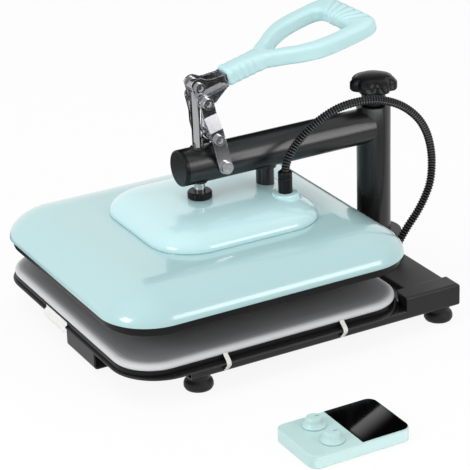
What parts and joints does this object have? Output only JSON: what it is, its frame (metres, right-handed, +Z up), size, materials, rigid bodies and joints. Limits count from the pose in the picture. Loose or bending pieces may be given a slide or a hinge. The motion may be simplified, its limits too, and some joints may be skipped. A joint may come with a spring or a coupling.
{
  "type": "swing-away heat press",
  "caption": "Flat heat press with a square pad and a domed heated head on a swinging arm, closed by a D-handled over-centre lever, with a separate flat controller.",
  "frame": {"origin": "on the bench, under the centre of the pressing pad", "axes": "+X to the operator's right, -Y towards the operator, +Z up"},
  "size_m": [0.6128, 0.5087, 0.3656],
  "materials": {
    "black_paint": "semi-matt black powder coat",
    "black_alloy": "black non-stick coating on cast aluminium",
    "silicone": "dark grey silicone foam with a pale edge",
    "rubber": "black moulded rubber",
    "elastic": "white woven elastic",
    "cloth": "plain white woven band",
    "zinc": "bright zinc-plated steel",
    "steel": "plain turned steel",
    "bronze": "sintered bronze",
    "black_plastic": "black moulded plastic",
    "hose": "black ribbed conduit",
    "mint_paint": "glossy mint-green enamel",
    "mint_plastic": "pale mint-green moulded plastic",
    "chrome": "polished chrome",
    "dark_chrome": "polished steel plate",
    "glass_panel": "glossy black display window"
  },
  "bodies": {
    "base": {"rail_left": "black_paint", "rail_right": "black_paint", "rear_plate": "black_paint", "feet": "rubber", "foot_bolts": "zinc", "tray_plate": "black_paint", "lower_platen": "black_alloy", "tray_bolts": "zinc", "pad": "silicone", "pad_straps": "elastic", "pad_tag": "cloth", "front_grip": "black_paint", "post_column": "steel", "column_bolts": "zinc", "thrust_washer": "bronze", "hose_grommet": "rubber", "controller_base": "black_plastic", "controller_case": "mint_plastic", "controller_glass": "glass_panel"},
    "clamp": {"clamp_knob": "black_plastic", "clamp_stud": "steel"},
    "arm": {"post_sleeve": "black_paint", "sleeve_bushes": "bronze", "sleeve_cap": "black_plastic", "arm_tube": "black_paint", "arm_cap": "black_plastic", "spindle_bush": "bronze", "guide_bush": "bronze", "link_pivot_bolt": "zinc", "hose": "hose"},
    "head": {"head_shell": "mint_paint", "top_cover": "mint_paint", "heat_plate": "black_alloy", "pressure_bridge": "steel", "spindle": "chrome", "guide_rod": "black_paint", "hose_gland": "black_plastic", "head_screws": "zinc"},
    "collar": {"pressure_collar": "black_plastic"},
    "links": {"link_left": "dark_chrome", "link_right": "dark_chrome", "link_tie": "zinc", "link_top_bolts": "zinc"},
    "handle": {"handle_bracket": "dark_chrome", "handle_grip": "mint_plastic", "handle_pin": "zinc", "grip_bolt": "zinc"},
    "dial_left": {"controller_dial_left": "mint_plastic"},
    "dial_right": {"controller_dial_right": "mint_plastic"}
  },
  "joints": [
    {"name": "arm_swing", "type": "hinge", "parent": "base", "child": "arm", "pos_m": [0, 0.258, 0.2], "axis": [0, 0, 1], "range_deg": [-100, 100], "deforming": ["hose"]},
    {"name": "clamp_turn", "type": "hinge", "parent": "base", "child": "clamp", "pos_m": [0, 0.258, 0.25], "axis": [0, 0, 1], "range_deg": [0, 360]},
    {"name": "head_press", "type": "slide", "parent": "arm", "child": "head", "axis": [0, 0, 1], "range_m": [-0.034, 0]},
    {"name": "collar_turn", "type": "hinge", "parent": "head", "child": "collar", "pos_m": [0, 0.0034, 0.165], "axis": [0, 0, 1], "continuous": true},
    {"name": "link_swing", "type": "hinge", "parent": "arm", "child": "links", "pos_m": [0, 0.027, 0.204], "axis": [1, 0, 0], "range_deg": [-1.26, 0]},
    {"name": "handle_turn", "type": "hinge", "parent": "head", "child": "handle", "pos_m": [0, 0.0034, 0.306], "axis": [1, 0, 0], "range_deg": [0, 146.11]},
    {"name": "dial_left_turn", "type": "hinge", "parent": "base", "child": "dial_left", "pos_m": [0.3498, -0.045, 0.02], "axis": [0, 0, 1], "range_deg": [-150, 150]},
    {"name": "dial_right_turn", "type": "hinge", "parent": "base", "child": "dial_right", "pos_m": [0.3892, -0.045, 0.02], "axis": [0, 0, 1], "range_deg": [-150, 150]}
  ],
  "couplings": [
    {"joint": "handle_turn", "follows": "head_press", "rad_per_m": -74.978},
    {"joint": "link_swing", "follows": "head_press", "rad_per_m": 0.6191}
  ]
}
